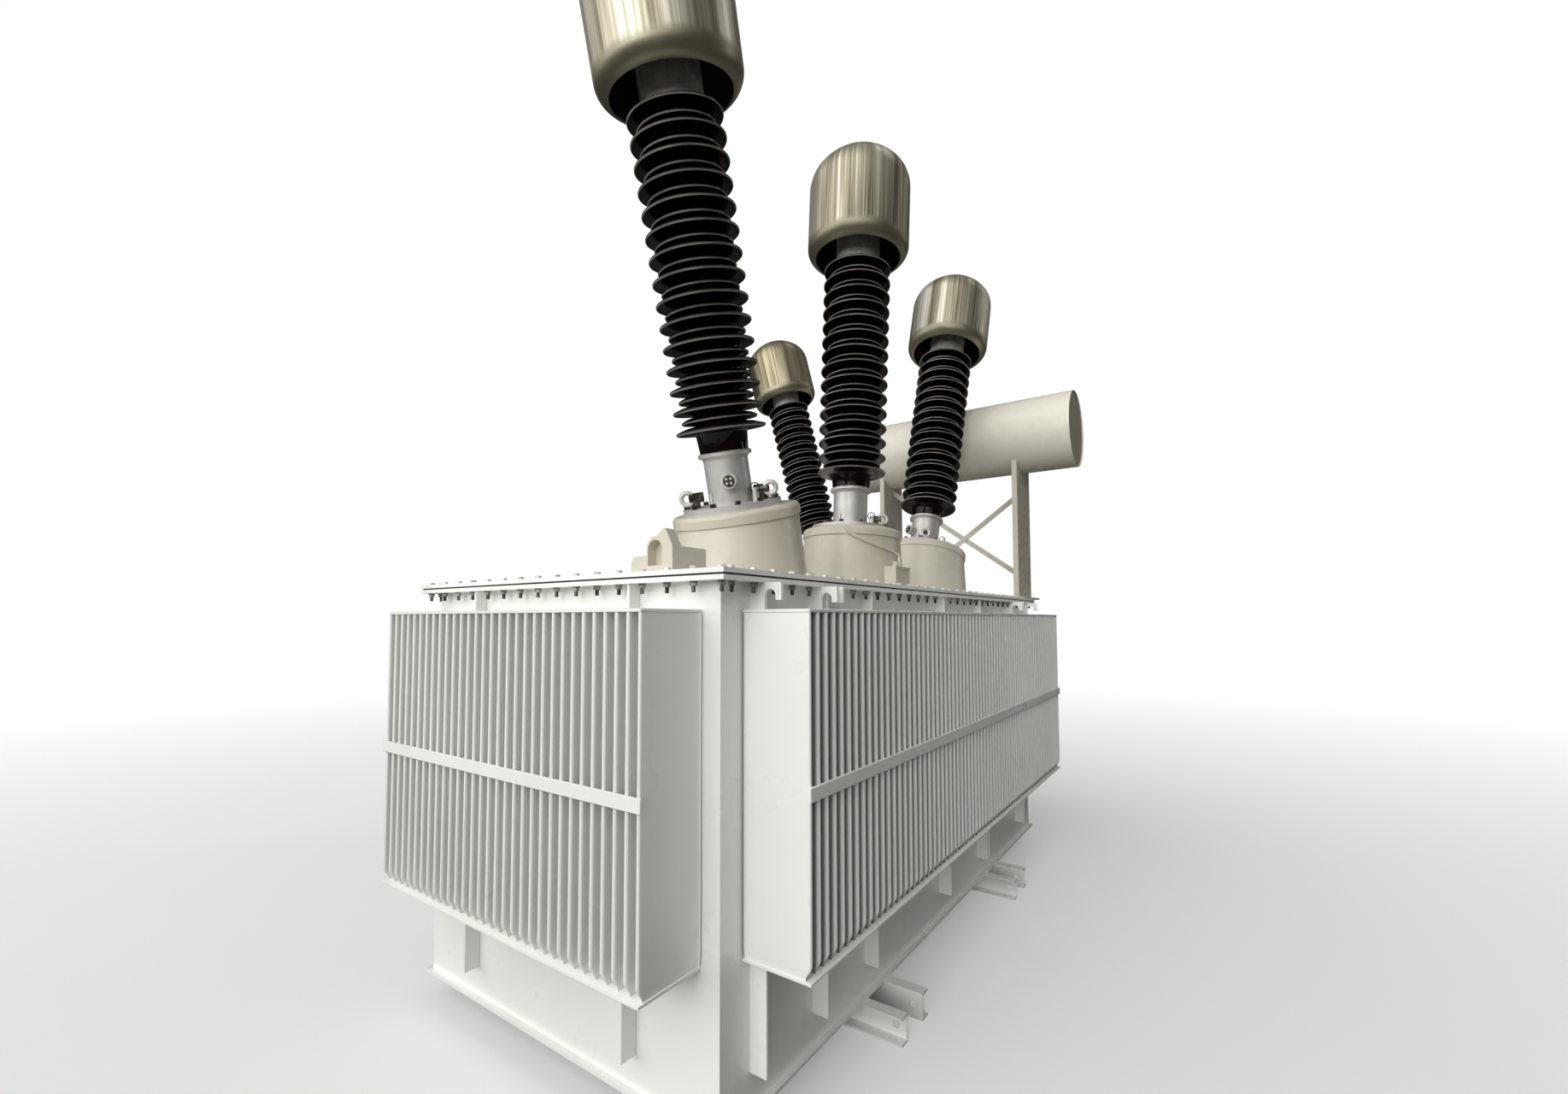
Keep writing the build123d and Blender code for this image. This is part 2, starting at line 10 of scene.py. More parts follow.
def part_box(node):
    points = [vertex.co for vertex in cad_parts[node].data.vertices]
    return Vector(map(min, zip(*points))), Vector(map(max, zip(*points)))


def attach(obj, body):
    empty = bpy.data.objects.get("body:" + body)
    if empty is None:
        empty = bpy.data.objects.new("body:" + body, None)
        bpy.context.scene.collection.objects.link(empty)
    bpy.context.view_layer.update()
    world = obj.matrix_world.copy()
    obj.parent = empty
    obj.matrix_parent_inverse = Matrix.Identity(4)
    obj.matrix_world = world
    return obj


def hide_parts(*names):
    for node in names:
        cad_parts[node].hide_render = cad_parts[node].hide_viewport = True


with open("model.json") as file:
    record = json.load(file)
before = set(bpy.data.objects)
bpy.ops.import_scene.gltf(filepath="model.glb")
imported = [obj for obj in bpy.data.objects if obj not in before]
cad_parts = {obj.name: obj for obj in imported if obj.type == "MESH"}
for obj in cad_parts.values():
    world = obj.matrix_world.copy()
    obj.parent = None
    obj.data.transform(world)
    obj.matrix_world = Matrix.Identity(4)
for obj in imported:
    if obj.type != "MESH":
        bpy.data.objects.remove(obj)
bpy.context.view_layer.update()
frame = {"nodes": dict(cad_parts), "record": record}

# Power transformer: the looks of its enamel, porcelain, spun hoods and small fittings.
# Metres, +Z up. Sizes along a bushing are measured from the ring at the foot of its porcelain.

MM = 0.001


def span(name):
    """Lowest and highest corner of a node of the frame, as arrays."""
    low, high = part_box(name)
    return np.array(low), np.array(high)


tank_low, tank_high = span("tank_body")
middle = (tank_low + tank_high) / 2
cover_top = span("tank_cover")[1][2]
flange_bottom = span("tank_flange")[0][2]
half_length = (tank_high[0] - tank_low[0]) / 2
half_width = (tank_high[1] - tank_low[1]) / 2

# Camera of the photograph: a wide lens held at about chest height
photo_width = 1835
photo_height = 1280
focal_px = 754.45
principal_px = (895.77, 688.82)
camera_place = Vector((-3.0864, -1.9561, 1.5144))
camera_yaw = radians(35.61)
camera_pitch = radians(2.76)
camera_roll = radians(-0.06)


def set_camera():
    """Camera with the photograph's viewing angle, and the shift that its framing needs."""
    data = bpy.data.cameras.new("camera")
    data.sensor_width = 36.0
    data.lens = data.sensor_width * focal_px / photo_width
    data.shift_x = (photo_width / 2 - principal_px[0]) / photo_width
    data.shift_y = (principal_px[1] - photo_height / 2) / photo_width
    data.clip_start = 0.05
    data.clip_end = 200.0
    camera = bpy.data.objects.new("camera", data)
    forward = Vector(
        (
            cos(camera_yaw) * cos(camera_pitch),
            sin(camera_yaw) * cos(camera_pitch),
            sin(camera_pitch),
        )
    )
    turn = forward.to_track_quat("-Z", "Y") @ Quaternion((0, 0, 1), camera_roll)
    camera.matrix_world = Matrix.Translation(camera_place) @ turn.to_matrix().to_4x4()
    bpy.context.scene.collection.objects.link(camera)
    bpy.context.scene.camera = camera


set_camera()


def srgb(code):
    """Linear colour, with alpha, of an sRGB hex code."""
    parts = [int(code[i : i + 2], 16) / 255 for i in (1, 3, 5)]
    return (*[v / 12.92 if v <= 0.04045 else ((v + 0.055) / 1.055) ** 2.4 for v in parts], 1.0)


def per(size_mm):
    """Scale of a noise whose features are about this many millimetres wide."""
    return 1000.0 / size_mm


def add(tree, kind, inputs=None, out=0, stops=(), **settings):
    """Adds a node and returns one of its outputs; an input is a value or another output, and
    stops are (place, hex colour) pairs along its ramp."""
    made = tree.nodes.new(kind)
    for key, value in settings.items():
        setattr(made, key, value)
    for key, value in (inputs or {}).items():
        if isinstance(value, bpy.types.NodeSocket):
            tree.links.new(value, made.inputs[key])
        else:
            made.inputs[key].default_value = value
    for i, (place, code) in enumerate(stops):
        element = made.color_ramp.elements[i] if i < 2 else made.color_ramp.elements.new(place)
        element.position = place
        element.color = srgb(code)
    return made.outputs[out] if made.outputs else made


def finish_named(name, base, links, **values):
    """New material whose shader has a base colour, values of its own and the links that a
    function of its node tree gives, by socket name."""
    made = bpy.data.materials.new(name)
    made.use_nodes = True
    tree = made.node_tree
    shader = tree.nodes["Principled BSDF"]
    shader.inputs["Base Color"].default_value = srgb(base)
    for key, value in values.items():
        shader.inputs[key.replace("_", " ")].default_value = value
    for key, socket in links(tree).items():
        tree.links.new(socket, shader.inputs[key])
    return made


# Painted shade: the grey that the deep folds of the cooling walls are darkened to
fold_shade = "#54534D"


def enamel(name, clean, dusty, roughness, waves):
    """Alkyd enamel sprayed on sheet steel: a smooth film over slightly wavy plates. It gives the
    eye even, clean colour with broad soft reflections and the faintest clouds of dust. Folds
    that a piece marks as deep are darkened towards a grey, as painted shade."""

    def links(tree):
        place = add(tree, "ShaderNodeTexCoord", out="Object")
        wide = {"Vector": place, "Scale": per(650), "Detail": 4.0}
        clouds = add(tree, "ShaderNodeTexNoise", wide)
        smears = add(tree, "ShaderNodeTexNoise", {"Vector": place, "Scale": per(160)})
        sagging = {"Vector": place, "Scale": per(420), "Detail": 1.0}
        sheet = add(tree, "ShaderNodeTexNoise", sagging)
        # Orange peel is really about 3 mm wide; it is drawn at 14 mm so that it shows
        peel = add(tree, "ShaderNodeTexNoise", {"Vector": place, "Scale": per(14)})
        deep = add(tree, "ShaderNodeAttribute", out="Fac", attribute_name="deep")
        wavy = add(
            tree, "ShaderNodeBump", {"Height": sheet, "Strength": waves, "Distance": 4 * MM}
        )
        fine = {"Height": peel, "Strength": 0.12, "Distance": 0.2 * MM, "Normal": wavy}
        gloss = {"Value": smears, "From Min": 0.3, "From Max": 0.7}
        gloss.update({"To Min": roughness - 0.05, "To Max": roughness + 0.08})
        film = add(
            tree, "ShaderNodeValToRGB", {"Fac": clouds}, stops=((0.3, clean), (0.9, dusty))
        )
        # Painted shade: the colour darkens towards fold_shade where the deep attribute is high
        mixed = {"Factor": deep, 6: film, 7: srgb(fold_shade)}
        return {
            "Base Color": add(tree, "ShaderNodeMix", mixed, out=2, data_type="RGBA"),
            "Roughness": add(tree, "ShaderNodeMapRange", gloss),
            "Normal": add(tree, "ShaderNodeBump", fine),
        }

    return finish_named(name, clean, links)


def glaze(name):
    """Brown feldspar glaze fired on porcelain: glassy and almost black. The rims get a painted
    highlight, a pale colour in a narrow ring. It gives the eye thin light rings and deep dark
    hollows."""

    def links(tree):
        place = add(tree, "ShaderNodeTexCoord", out="Object")
        # Painted highlight: how much of the pale colour each rim point gets
        thin = add(tree, "ShaderNodeAttribute", out="Fac", attribute_name="rim")
        blotches = add(tree, "ShaderNodeTexNoise", {"Vector": place, "Scale": per(60)})
        highlight_noise = add(tree, "ShaderNodeTexNoise", {"Vector": place, "Scale": per(130)})
        ripple = add(tree, "ShaderNodeTexNoise", {"Vector": place, "Scale": per(30)})
        left = {"Value": highlight_noise, "From Min": 0.3, "From Max": 0.7, "To Min": 0.45, "To Max": 1.0}
        rim_highlight = add(
            tree,
            "ShaderNodeMath",
            {0: thin, 1: add(tree, "ShaderNodeMapRange", left)},
            operation="MULTIPLY",
        )
        body = add(
            tree,
            "ShaderNodeValToRGB",
            {"Fac": blotches},
            stops=((0.35, "#070403"), (0.7, "#150A07")),
        )
        # Painted highlight: the pale colour mixed onto the rims
        mixed = {"Factor": rim_highlight, 6: body, 7: srgb("#D2CCC4")}
        gloss = {"Value": ripple, "From Min": 0.3, "From Max": 0.7, "To Min": 0.1, "To Max": 0.2}
        return {
            "Base Color": add(tree, "ShaderNodeMix", mixed, out=2, data_type="RGBA"),
            "Roughness": add(tree, "ShaderNodeMapRange", gloss),
            "Normal": add(
                tree, "ShaderNodeBump", {"Height": ripple, "Strength": 0.15, "Distance": 0.5 * MM}
            ),
        }

    return finish_named(name, "#0E0807", links, IOR=1.5, Specular_IOR_Level=0.22)


def spun_metal(name, shadow, middling, light, bright):
    """Aluminium sheet spun on a former, then rubbed down along its length. It gives the eye a
    satin metal with upright streaks of many widths that end at the rolled lip and fade out on
    the crown."""

    def links(tree):
        place = add(tree, "ShaderNodeAttribute", out="Vector", attribute_name="turned")
        rubbed = add(tree, "ShaderNodeAttribute", out="Fac", attribute_name="rubbed")
        inside = add(tree, "ShaderNodeAttribute", out="Fac", attribute_name="inside")
        # Streaks are 5 to 60 mm wide and run on for half a metre and more
        long = add(tree, "ShaderNodeMapping", {"Vector": place, "Scale": (1, 1, 0.012)})
        short = add(tree, "ShaderNodeMapping", {"Vector": place, "Scale": (1, 1, 0.1)})
        fine = add(
            tree, "ShaderNodeTexNoise", {"Vector": long, "Scale": per(11), "Detail": 3.0}
        )
        broad = add(tree, "ShaderNodeTexNoise", {"Vector": long, "Scale": per(85)})
        rubs = add(tree, "ShaderNodeTexNoise", {"Vector": short, "Scale": per(110)})
        pair = add(tree, "ShaderNodeMath", {0: fine, 1: broad}, operation="ADD")
        total = add(tree, "ShaderNodeMath", {0: pair, 1: rubs}, operation="ADD")
        level = {"Value": total, "From Min": 1.22, "From Max": 1.78}
        streaks = add(
            tree,
            "ShaderNodeValToRGB",
            {"Fac": add(tree, "ShaderNodeMapRange", level)},
            stops=((0.0, shadow), (1.0, bright), (0.45, middling), (0.7, light)),
        )
        mixed = {"Factor": rubbed, 6: srgb("#9A9681"), 7: streaks}
        outer = add(tree, "ShaderNodeMix", mixed, out=2, data_type="RGBA")
        # The inside was never rubbed down; its dull dark brown with little metal is painted shade
        both = {"Factor": inside, 6: outer, 7: srgb("#4A4034")}
        return {
            "Base Color": add(tree, "ShaderNodeMix", both, out=2, data_type="RGBA"),
            "Metallic": add(
                tree, "ShaderNodeMapRange", {"Value": inside, "To Min": 0.88, "To Max": 0.2}
            ),
            "Roughness": add(
                tree, "ShaderNodeMapRange", {**level, "To Min": 0.52, "To Max": 0.4}
            ),
            "Normal": add(
                tree, "ShaderNodeBump", {"Height": fine, "Strength": 0.25, "Distance": 0.3 * MM}
            ),
        }

    return finish_named(name, middling, links)


def cast_metal(name, light, dark, roughness, grain_mm, metallic=1.0):
    """Machined or cast metal under a thin clear coat. It gives the eye an even dull gleam with
    a few slightly darker stains."""

    def links(tree):
        place = add(tree, "ShaderNodeTexCoord", out="Object")
        stains = add(tree, "ShaderNodeTexNoise", {"Vector": place, "Scale": per(grain_mm * 30)})
        grit = add(tree, "ShaderNodeTexNoise", {"Vector": place, "Scale": per(grain_mm)})
        gloss = {"Value": stains, "From Min": 0.3, "From Max": 0.7}
        gloss.update({"To Min": roughness + 0.06, "To Max": roughness})
        return {
            "Base Color": add(
                tree, "ShaderNodeValToRGB", {"Fac": stains}, stops=((0.4, dark), (0.6, light))
            ),
            "Roughness": add(tree, "ShaderNodeMapRange", gloss),
            "Normal": add(
                tree, "ShaderNodeBump", {"Height": grit, "Strength": 0.12, "Distance": 0.15 * MM}
            ),
        }

    return finish_named(name, light, links, Metallic=metallic)


def rubber(name, light, dark):
    """Moulded synthetic rubber. It gives the eye a dull dark edge with a soft sheen and a little
    chalky dust."""

    def links(tree):
        place = add(tree, "ShaderNodeTexCoord", out="Object")
        chalk = add(tree, "ShaderNodeTexNoise", {"Vector": place, "Scale": per(40), "Detail": 4.0})
        stops = ((0.35, dark), (0.7, light))
        return {"Base Color": add(tree, "ShaderNodeValToRGB", {"Fac": chalk}, stops=stops)}

    return finish_named(name, light, links, Roughness=0.6)


# Tank and cooling walls: a bright coat over thin sheets, wavy enough for the light to wander
white_enamel = enamel("white_alkyd_enamel", "#F5F5F3", "#E9E8E3", 0.3, 0.35)
# Turrets and posts: thicker plates, so the reflections run straighter
cream_enamel = enamel("cream_alkyd_enamel", "#D3CEBE", "#C8C2B0", 0.27, 0.15)
# Drum of the conservator: a paler copy of the cream enamel, as painted light
lit_drum_enamel = enamel("lit_cream_enamel", "#EFEBDD", "#E6E2D4", 0.27, 0.15)
# Its sunk end discs: a darker olive copy of the cream enamel with hardly any gloss, as painted
# shade
shaded_cap_enamel = enamel("shaded_cream_enamel", "#A29C85", "#918B74", 0.5, 0.1)
porcelain_glaze = glaze("brown_glazed_porcelain")
streak_shades = "#6F6957", "#ADA792", "#C8C3B1", "#E6E2D6"
shaded_streak_shades = "#4C4634", "#7C745D", "#948B72", "#B3AB92"
spun_aluminium = spun_metal("spun_aluminium", *streak_shades)
# The rear hood: a darker, browner copy of the streaked aluminium, as painted shade
shaded_aluminium = spun_metal("shaded_spun_aluminium", *shaded_streak_shades)
# Bushing feet: castings under aluminium paint, whose flakes give a half metallic grey
sleeve_metal = cast_metal("aluminium_paint", "#D3D1CE", "#CAC8C5", 0.42, 2.0, 0.5)
# Bolts and clamp bodies: black steel with a film of oil and dirt
bolt_steel = cast_metal("oiled_steel_bolts", "#66645E", "#3B3934", 0.42, 1.5)
# Eyes, caps and heads: new zinc, almost white; on the head fittings inside the hoods the
# near-white is a painted highlight
bright_steel = cast_metal("zinc_plated_steel", "#E6E5DE", "#C9C7BE", 0.4, 1.5, 0.25)
# Nuts under the flange: dipped zinc gone grey
dull_steel = cast_metal("hot_dipped_zinc", "#A3A19A", "#7E7C75", 0.45, 1.5, 0.6)
# Gasket between cover and flange
nitrile_rubber = rubber("nitrile_rubber", "#3A3936", "#262521")

slot_finish = {
    "tank_paint": white_enamel,
    "turret_paint": cream_enamel,
    "gasket_rubber": nitrile_rubber,
    "foot_metal": sleeve_metal,
    "brown_glaze": porcelain_glaze,
    "spun_aluminium": spun_aluminium,
}
node_finish = {f"conservator_cap_{end}": shaded_cap_enamel for end in ("front", "back")}
node_finish["conservator_shell"] = lit_drum_enamel
for part in frame["record"]["subparts"]:
    mesh = frame["nodes"][part["node"]].data
    mesh.materials.clear()
    mesh.materials.append(node_finish.get(part["node"], slot_finish[part["material_slot"]]))


def make_piece(name, shape, finish, smooth_angle=35.0, replaces=(), merge=False):
    """Mesh from a shape, a pair of arrays of points and quads, that rides on the part."""
    points, faces = shape
    mesh = bpy.data.meshes.new(name)
    mesh.vertices.add(len(points))
    mesh.vertices.foreach_set("co", np.asarray(points, dtype=np.float32).ravel())
    faces = np.asarray(faces, dtype=np.int32)
    mesh.loops.add(faces.size)
    mesh.loops.foreach_set("vertex_index", faces.ravel())
    mesh.polygons.add(len(faces))
    mesh.polygons.foreach_set("loop_start", np.arange(len(faces), dtype=np.int32) * faces.shape[1])
    mesh.update(calc_edges=True)
    if merge:
        whole = bmesh.new()
        whole.from_mesh(mesh)
        bmesh.ops.remove_doubles(whole, verts=whole.verts, dist=1e-6)
        bmesh.ops.dissolve_degenerate(whole, edges=whole.edges, dist=1e-7)
        bmesh.ops.recalc_face_normals(whole, faces=whole.faces)
        whole.to_mesh(mesh)
        whole.free()
    mesh.polygons.foreach_set("use_smooth", np.ones(len(mesh.polygons), dtype=bool))
    mesh.set_sharp_from_angle(angle=radians(smooth_angle))
    mesh.materials.append(finish)
    piece = bpy.data.objects.new(name, mesh)
    bpy.context.scene.collection.objects.link(piece)
    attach(piece, "root")
    if replaces:
        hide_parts(*replaces)
    return piece


def remember(piece, name, values):
    """Keeps a number or a vector for each point of a piece, as an attribute."""
    values = np.asarray(values, dtype=np.float32)
    kind, key = ("FLOAT", "value") if values.ndim == 1 else ("FLOAT_VECTOR", "vector")
    piece.data.attributes.new(name, kind, "POINT").data.foreach_set(key, values.ravel())


def grid_faces(rows, columns, wrap=False):
    """Quads of a grid of points stored row by row; wrap closes each row on itself."""
    i = np.arange(rows - 1)[:, None]
    j = np.arange(columns if wrap else columns - 1)[None, :]
    k = (j + 1) % columns
    corners = [i * columns + j, i * columns + k, (i + 1) * columns + k, (i + 1) * columns + j]
    return np.stack([np.broadcast_to(c, (rows - 1, j.size)).ravel() for c in corners], axis=1)


def lathe(profile, around):
    """Points and quads of a profile of (radius, height) turned about Z: x = r cos a,
    y = r sin a, z = h."""
    profile = np.asarray(profile, dtype=float)
    angle = np.arange(around) * 2 * pi / around
    r, h = profile[:, :1], profile[:, 1:]
    points = np.stack(
        [r * np.cos(angle), r * np.sin(angle), np.broadcast_to(h, (len(profile), around))], axis=2
    )
    return points.reshape(-1, 3), grid_faces(len(profile), around, wrap=True)


def arc(centre, radius, start, end, count):
    """Points of an arc from one angle to another, in degrees: centre + radius (cos, sin)."""
    angle = np.radians(np.linspace(start, end, count))
    return np.stack([centre[0] + radius * np.cos(angle), centre[1] + radius * np.sin(angle)], 1)


def joined(*shapes):
    """One shape from several."""
    points, faces, count = [], [], 0
    for shape_points, shape_faces in shapes:
        points.append(shape_points)
        faces.append(np.asarray(shape_faces) + count)
        count += len(shape_points)
    return np.concatenate(points), np.concatenate(faces)


def moved(shape, shift=(0.0, 0.0, 0.0), turn=None):
    """A shape turned by a 3 by 3 matrix, then shifted."""
    points, faces = shape
    if turn is not None:
        points = points @ np.asarray(turn).T
    return points + np.asarray(shift), faces


def repeated(shape, angles, shifts):
    """Copies of a shape, one for each angle about Z, in radians, and shift."""
    points, faces = shape
    c, s = np.cos(angles)[:, None], np.sin(angles)[:, None]
    x, y = points[:, 0], points[:, 1]
    copies = np.stack([c * x - s * y, s * x + c * y, points[:, 2] + 0 * c], axis=2)
    copies = copies + np.asarray(shifts)[:, None, :]
    steps = (np.arange(len(copies)) * len(points))[:, None, None]
    return copies.reshape(-1, 3), (faces[None] + steps).reshape(-1, faces.shape[1])


def frame_about(axis, towards=(1.0, 0.0, 0.0)):
    """Turn whose third column is the axis and whose first lies nearest to a direction."""
    z = np.asarray(axis, dtype=float) / np.linalg.norm(axis)
    x = np.asarray(towards, dtype=float) - np.dot(towards, z) * z
    x = x / np.linalg.norm(x)
    return np.stack([x, np.cross(z, x), z], axis=1)


def eased_box(low, high, edge):
    """Box with eased edges, as four rings of eight points. Each point stands back from its corner
    by the edge's width along one side, and those of the end rings by as much again along both."""
    low, high = np.asarray(low, float), np.asarray(high, float)
    corner = np.array([[0, 0], [0, 0], [1, 0], [1, 0], [1, 1], [1, 1], [0, 1], [0, 1]])
    back = np.array([[0, 1], [1, 0], [1, 0], [0, 1], [0, 1], [1, 0], [1, 0], [0, 1]])
    away = edge * (back + np.array([1, 0, 0, 1])[:, None, None])
    flat = np.where(corner == 1, high[:2] - away, low[:2] + away)
    height = np.array([low[2], low[2] + edge, high[2] - edge, high[2]])[:, None, None]
    points = np.concatenate([flat, np.broadcast_to(height, (4, 8, 1))], axis=2)
    bottom = np.array([(7, 6, 1, 0), (6, 5, 2, 1), (5, 4, 3, 2)])
    faces = np.concatenate([grid_faces(4, 8, wrap=True), bottom, bottom[:, ::-1] + 24])
    return points.reshape(-1, 3), faces


# Sides of the tank: the way along each that keeps its faces turned outwards, the way out and the
# distance from the middle
walls = {
    "front": ((-1.0, 0.0, 0.0), (0.0, -1.0, 0.0), half_width),
    "back": ((1.0, 0.0, 0.0), (0.0, 1.0, 0.0), half_width),
    "left": ((0.0, 1.0, 0.0), (-1.0, 0.0, 0.0), half_length),
    "right": ((0.0, -1.0, 0.0), (1.0, 0.0, 0.0), half_length),
}


def against(side, shape, height):
    """A shape drawn along X, with its depth along Y, set upright against a side of the tank."""
    along, out, reach = walls[side]
    turn = np.stack([along, out, (0.0, 0.0, 1.0)], axis=1)
    place = middle[:2] + reach * np.array(out[:2])
    return moved(shape, (*place, height), turn)


# Cooling walls: fins, their pressed bottoms, end plates and the flat bar across them
fin_pitch = 45 * MM
fin_edge_half = 6.5 * MM
fin_sheet_half = 4.2 * MM
fin_root = 6 * MM
fin_foot = 5 * MM
fin_foot_ease = 1.5 * MM
fin_foot_rise = 6 * MM
pressed_edge_half = 2.6 * MM
pressed_sheet_half = 2.2 * MM
plate_edge = 1.5 * MM
fin_pinch_height = 42 * MM
fin_pinch_depth = 18 * MM
fin_plate = 10 * MM
band_rise = 484 * MM
band_height = 41 * MM
band_thickness = 8 * MM
band_reach = 10 * MM
band_edge = 2 * MM
# How much painted shade the folds of each wall get, and how soon behind the rolled edge
fold_shade_share = {"front": 0.9, "back": 0.9, "left": 0.08, "right": 0.08}
fold_fade = 12 * MM
end_columns = 8


def fin_section(depth, sheet_half, edge_half):
    """Plan of one fin about its middle, from root to root: sheet side, rolled edge, sheet side.
    The rolled edge is a half circle, and the sheet narrows behind it, from 2.4 to 5 of the edge's
    radii back."""
    nose = arc((0.0, depth - edge_half), edge_half, 180, 0, 9)
    side = np.array(
        [
            (-fin_pitch / 2, fin_root),
            (-sheet_half - fin_foot, fin_root),
            (-sheet_half - fin_foot_ease, fin_root + fin_foot_ease),
            (-sheet_half, fin_root + fin_foot_rise),
            (-sheet_half, depth * 0.5),
            (-sheet_half, depth - 5.0 * edge_half),
            (-sheet_half - 0.6 * (edge_half - sheet_half), depth - 2.4 * edge_half),
        ]
    )
    return np.concatenate([side, nose, side[::-1] * (-1, 1)])


def corrugated_wall(side):
    """Folded sheet with one fin per pitch. Each level of the grid is the fins' plan; towards the
    bottom the fins are pressed flat and draw back by a smooth step."""
    low, high = span(f"cooling_wall_{side}")
    along, out = walls[side][:2]
    depth = float(np.dot(high - low, np.abs(out))) - band_thickness
    height = high[2] - low[2]
    wall_length = float(np.dot(high - low, np.abs(along)))
    count = int(round((wall_length - 2 * band_reach - 2 * fin_edge_half) / fin_pitch)) + 1
    shifts = (np.arange(count) - (count - 1) / 2) * fin_pitch
    rise = np.concatenate(
        [
            fin_plate + fin_pinch_height * np.linspace(0, 1, 7),
            [height / 2, height - fin_plate],
        ]
    )
    open_share = np.clip((rise - fin_plate) / fin_pinch_height, 0, 1)
    open_share = open_share * open_share * (3 - 2 * open_share)
    rows = []
    for share, z in zip(open_share, rise):
        edge = pressed_edge_half + (fin_edge_half - pressed_edge_half) * share
        sheet = pressed_sheet_half + (fin_sheet_half - pressed_sheet_half) * share
        plan = fin_section(depth - fin_pinch_depth * (1 - share), sheet, edge)
        row = (plan[None, :, :] + np.stack([shifts, 0 * shifts], 1)[:, None, :]).reshape(-1, 2)
        row[0, 0] = shifts[0] - sheet - fin_foot
        row[-1, 0] = shifts[-1] + sheet + fin_foot
        rows.append(np.column_stack([row, np.full(len(row), z)]))
    grid = np.array(rows)
    sheet_faces = grid_faces(grid.shape[0], grid.shape[1])[:, ::-1]
    half = (count - 1) / 2 * fin_pitch + fin_edge_half
    plates = [
        eased_box((-half, 0, z), (half, depth, z + fin_plate), plate_edge)
        for z in (0.0, height - fin_plate)
    ]
    bar = eased_box(
        (-half - band_reach, depth, band_rise),
        (half + band_reach, depth + band_thickness, band_rise + band_height),
        band_edge,
    )
    shape = joined((grid.reshape(-1, 3), sheet_faces), *plates, bar)
    # Painted shade in the folds, from right behind the rolled edge, but not on the wall's open
    # ends
    deep = np.clip((depth - fin_edge_half - grid[:, :, 1]) / fold_fade, 0, 1)
    deep[:, :end_columns] = 0
    deep[:, -end_columns:] = 0
    deep = deep.ravel()
    piece = make_piece(
        f"corrugated_sheet_{side}",
        against(side, shape, low[2]),
        white_enamel,
        smooth_angle=40,
        replaces=[f"cooling_wall_{side}"],
    )
    rest = np.zeros(len(shape[0]) - len(deep))
    remember(piece, "deep", np.concatenate([fold_shade_share[side] * deep, rest]))


for side in walls:
    corrugated_wall(side)


# Stiffener ribs: half a plate's thickness, how far each kind stands out, and the height at
# which the lower ones end; then places along each wall from its middle
rib_half = 5 * MM
low_rib_depth = 60 * MM
high_rib_depth = 45 * MM
low_rib_end = 215 * MM
rib_from_end = 328 * MM
long_ribs = [place * MM - half_length for place in (140, 485, 860)]
short_ribs = [rib_from_end - half_width, half_width - rib_from_end]
middle_ribs = [-20 * MM, 540 * MM]
lower_ribs = [*long_ribs, *middle_ribs, 580 * MM, half_length - 340 * MM]
upper_ribs = [long_ribs[-1], *middle_ribs]
wall_low, wall_high = span("cooling_wall_front")


def stiffener_ribs(side, low_places, high_places):
    """Upright plates with eased edges: below the fins they stop short of the base plate."""
    plates = []
    for places, depth, low, high in (
        (low_places, low_rib_depth, low_rib_end, wall_low[2]),
        (high_places, high_rib_depth, wall_high[2], flange_bottom),
    ):
        for place in places:
            corners = (place - rib_half, 0, low), (place + rib_half, depth, high)
            plates.append(eased_box(*corners, plate_edge))
    make_piece(
        f"stiffener_ribs_{side}",
        against(side, joined(*plates), 0.0),
        white_enamel,
        replaces=[f"wall_ribs_{side}"],
    )


for side, sign in (("front", -1), ("back", 1)):
    places = [sign * place for place in lower_ribs], [sign * place for place in upper_ribs]
    stiffener_ribs(side, *places)
for side in ("left", "right"):
    stiffener_ribs(side, short_ribs, short_ribs)


# Bushings: foot ring's place from the tank's middle and the cover's top, lean along X and Y, size
bushings = {
    "left": ((-1.070, -0.280, 0.530), -15.5, -1.3, 1.0),
    "middle": ((0.0, -0.280, 0.554), 2.0, -1.3, 1.0),
    "right": ((1.070, -0.280, 0.530), 15.5, -1.3, 1.0),
    "rear": ((1.130, 0.602, 0.487), 0.0, 14.8, 0.868),
}

# Porcelain: its neck, core and sheds, the round of their rims, how far the core goes on over
# the last shed, and the undercut's points
core_radius = 103.5 * MM
neck_radius = 98 * MM
neck_height = 10 * MM
lowest_shed = 86 * MM
shed_pitch = 79.8 * MM
shed_count = 15
shed_radius = 180 * MM
small_shed_radius = 152 * MM
shed_slope = 22 * MM
small_shed_slope = 17 * MM
shed_dome = 4 * MM
insulator_sides = 96
rim = 6.2 * MM
core_end = 24 * MM
under_start = 15 * MM
under_bend = 8 * MM, 10 * MM
under_middle = 8 * MM
under_rim = 14 * MM, 0.6 * MM
# Hood, and how far its streaks keep off lip and crown
hood_radius = 274 * MM
hood_start = 1335 * MM
hood_side = 322 * MM
hood_dome = 218 * MM
hood_shoulder = 165 * MM
hood_wall = 6 * MM
hood_mouth = 229 * MM
hood_lip = 60 * MM
lip_band = 25 * MM
crown_spot = 60 * MM
crown_fade = 110 * MM
streak_shift = 40.0
hood_sides = 128
# Head inside the hood, just over the porcelain, and its stem, which ends just under the crown
head_start = 26 * MM
head_foot = lowest_shed + (shed_count - 1) * shed_pitch + head_start
head_height = 190 * MM
head_radius = 118 * MM
head_edge = 4 * MM
stem_radius = 30 * MM
stem_gap = 1.5 * MM
stem_top = hood_start + hood_side + hood_dome - hood_wall - stem_gap


